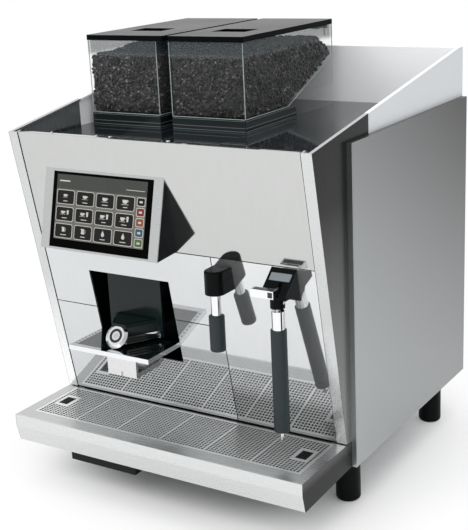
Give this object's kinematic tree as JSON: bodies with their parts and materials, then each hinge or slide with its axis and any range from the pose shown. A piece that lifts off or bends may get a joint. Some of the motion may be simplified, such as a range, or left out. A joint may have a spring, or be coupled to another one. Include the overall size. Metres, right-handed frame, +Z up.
{
  "type": "bean to cup coffee machine",
  "caption": "Counter-top bean to cup coffee machine with leaning steel front, clear bean hoppers, tilted touch screen, sliding coffee outlet, hot water tap, steam wand and drip tray.",
  "frame": {"origin": "centre of the bounding box on the counter, under the feet", "axes": "+X to the machine's right seen from the front, +Y to its back, +Z up; the front faces -Y"},
  "size_m": [0.43, 0.476, 0.5504],
  "materials": {
    "brushed_steel": "satin",
    "polished_steel": "polished",
    "light_paint": "satin",
    "light_aluminium": "brushed",
    "black_gloss": "gloss",
    "black_matte": "matte",
    "dark_deck": "gloss",
    "smoky_clear": "clear",
    "bean_brown": "rough",
    "screen_glass": "gloss",
    "chrome": "polished",
    "black_rubber": "matte",
    "galvanised_steel": "dull",
    "cast_alloy": "dull",
    "brass": "satin",
    "pale_inset": "matte"
  },
  "bodies": {
    "machine": {"base_pan": "galvanised_steel", "side_frame_left": "brushed_steel", "side_frame_right": "brushed_steel", "rear_housing": "light_paint", "deck_plate": "dark_deck", "side_panel_left": "brushed_steel", "side_panel_right": "brushed_steel", "upper_panel": "brushed_steel", "middle_panel": "polished_steel", "tap_panel": "polished_steel", "display_housing": "light_aluminium", "display_glass": "screen_glass", "niche_liner": "black_matte", "water_block": "black_gloss", "water_tube": "chrome", "water_nozzle": "black_matte", "steam_block": "black_gloss", "steam_inset": "pale_inset", "brew_frame": "black_matte", "boiler": "galvanised_steel", "water_pipe": "chrome", "steam_pipe": "chrome", "pump": "cast_alloy", "switch_frame": "black_matte", "water_inlet": "brass", "cord_gland": "black_matte", "feet": "black_rubber", "grinder_left": "cast_alloy", "grinder_right": "cast_alloy"},
    "grounds_drawer": {"drawer_front": "polished_steel", "drawer_grip": "brushed_steel", "grounds_bin": "black_matte"},
    "outlet": {"outlet_carriage": "black_gloss", "outlet_bow": "chrome"},
    "cup_shelf": {"shelf_frame": "chrome", "shelf_plate": "black_matte"},
    "tray": {"drip_tray": "brushed_steel", "drip_pan": "black_matte"},
    "grid": {"drip_grid": "brushed_steel"},
    "piston": {"brew_piston": "black_matte"},
    "screw": {"brew_screw": "galvanised_steel"},
    "wand_collar": {"steam_collar": "black_matte"},
    "wand": {"steam_tube": "chrome", "steam_sleeve": "black_rubber"},
    "lever": {"steam_lever": "chrome"},
    "rocker": {"switch_rocker": "black_matte"},
    "hopper_left": {"hopper_body_left": "smoky_clear", "hopper_plinth_left": "black_gloss", "hopper_beans_left": "bean_brown"},
    "lid_left": {"hopper_lid_left": "black_gloss"},
    "lock_left": {"hopper_lock_left": "chrome"},
    "gate_left": {"hopper_gate_left": "black_matte"},
    "rotor_left": {"grinder_rotor_left": "galvanised_steel"},
    "hopper_right": {"hopper_body_right": "smoky_clear", "hopper_plinth_right": "black_gloss", "hopper_beans_right": "bean_brown"},
    "lid_right": {"hopper_lid_right": "black_gloss"},
    "lock_right": {"hopper_lock_right": "chrome"},
    "gate_right": {"hopper_gate_right": "black_matte"},
    "rotor_right": {"grinder_rotor_right": "galvanised_steel"}
  },
  "joints": [
    {"name": "grounds_drawer_slide", "type": "slide", "parent": "machine", "child": "grounds_drawer", "axis": [0, -1, 0], "range_m": [0, 0.18]},
    {"name": "outlet_height", "type": "slide", "parent": "machine", "child": "outlet", "axis": [0, 0, 1], "range_m": [0, 0.045]},
    {"name": "cup_shelf_slide", "type": "slide", "parent": "machine", "child": "cup_shelf", "axis": [0, 1, 0], "range_m": [0, 0.05]},
    {"name": "drip_tray_slide", "type": "slide", "parent": "machine", "child": "tray", "axis": [0, -1, 0], "range_m": [0, 0.2]},
    {"name": "drip_grid_lift", "type": "slide", "parent": "tray", "child": "grid", "axis": [0, 0, 1], "range_m": [0, 0.018]},
    {"name": "brew_screw_turn", "type": "hinge", "parent": "machine", "child": "screw", "pos_m": [-0.04, -0.04, 0.25], "axis": [0, 0, 1], "range_deg": [0, 750]},
    {"name": "brew_piston_press", "type": "slide", "parent": "machine", "child": "piston", "axis": [0, 0, -1], "range_m": [0, 0.025]},
    {"name": "steam_wand_swivel", "type": "hinge", "parent": "machine", "child": "wand_collar", "pos_m": [0.1555, -0.187, 0.2792], "axis": [0, 0, 1], "range_deg": [-60, 60]},
    {"name": "steam_wand_tilt", "type": "hinge", "parent": "wand_collar", "child": "wand", "pos_m": [0.1555, -0.187, 0.2792], "axis": [-1, 0, 0], "range_deg": [0, 25]},
    {"name": "steam_lever_press", "type": "hinge", "parent": "machine", "child": "lever", "pos_m": [0.16, -0.185, 0.294], "axis": [1, 0, 0], "range_deg": [0, 10], "stiffness_Nm_per_rad": 0.15, "springref_deg": -11.46},
    {"name": "mains_switch_rock", "type": "hinge", "parent": "machine", "child": "rocker", "pos_m": [0.15, 0.2195, 0.13], "axis": [-1, 0, 0], "range_deg": [0, 14]},
    {"name": "hopper_left_lift", "type": "slide", "parent": "machine", "child": "hopper_left", "axis": [0, 0, 1], "range_m": [0, 0.15]},
    {"name": "hopper_left_lid", "type": "hinge", "parent": "hopper_left", "child": "lid_left", "pos_m": [-0.143, 0.187, 0.5394], "axis": [-1, 0, 0], "range_deg": [0, 100]},
    {"name": "hopper_left_lock", "type": "hinge", "parent": "lid_left", "child": "lock_left", "pos_m": [-0.16, 0.032, 0.546], "axis": [0, 0, 1], "range_deg": [-90, 0]},
    {"name": "hopper_left_gate", "type": "slide", "parent": "hopper_left", "child": "gate_left", "axis": [0, -1, 0], "range_m": [0, 0.042]},
    {"name": "grinder_left_spin", "type": "hinge", "parent": "machine", "child": "rotor_left", "pos_m": [-0.143, 0.005, 0.3], "axis": [0, 0, 1], "continuous": true},
    {"name": "hopper_right_lift", "type": "slide", "parent": "machine", "child": "hopper_right", "axis": [0, 0, 1], "range_m": [0, 0.15]},
    {"name": "hopper_right_lid", "type": "hinge", "parent": "hopper_right", "child": "lid_right", "pos_m": [-0.0162, 0.187, 0.5394], "axis": [-1, 0, 0], "range_deg": [0, 100]},
    {"name": "hopper_right_lock", "type": "hinge", "parent": "lid_right", "child": "lock_right", "pos_m": [-0.0332, 0.032, 0.546], "axis": [0, 0, 1], "range_deg": [-90, 0]},
    {"name": "hopper_right_gate", "type": "slide", "parent": "hopper_right", "child": "gate_right", "axis": [0, -1, 0], "range_m": [0, 0.042]},
    {"name": "grinder_right_spin", "type": "hinge", "parent": "machine", "child": "rotor_right", "pos_m": [-0.0162, 0.005, 0.3], "axis": [0, 0, 1], "continuous": true}
  ],
  "couplings": [
    {"joint": "brew_screw_turn", "follows": "brew_piston_press", "rad_per_m": 523.6}
  ]
}
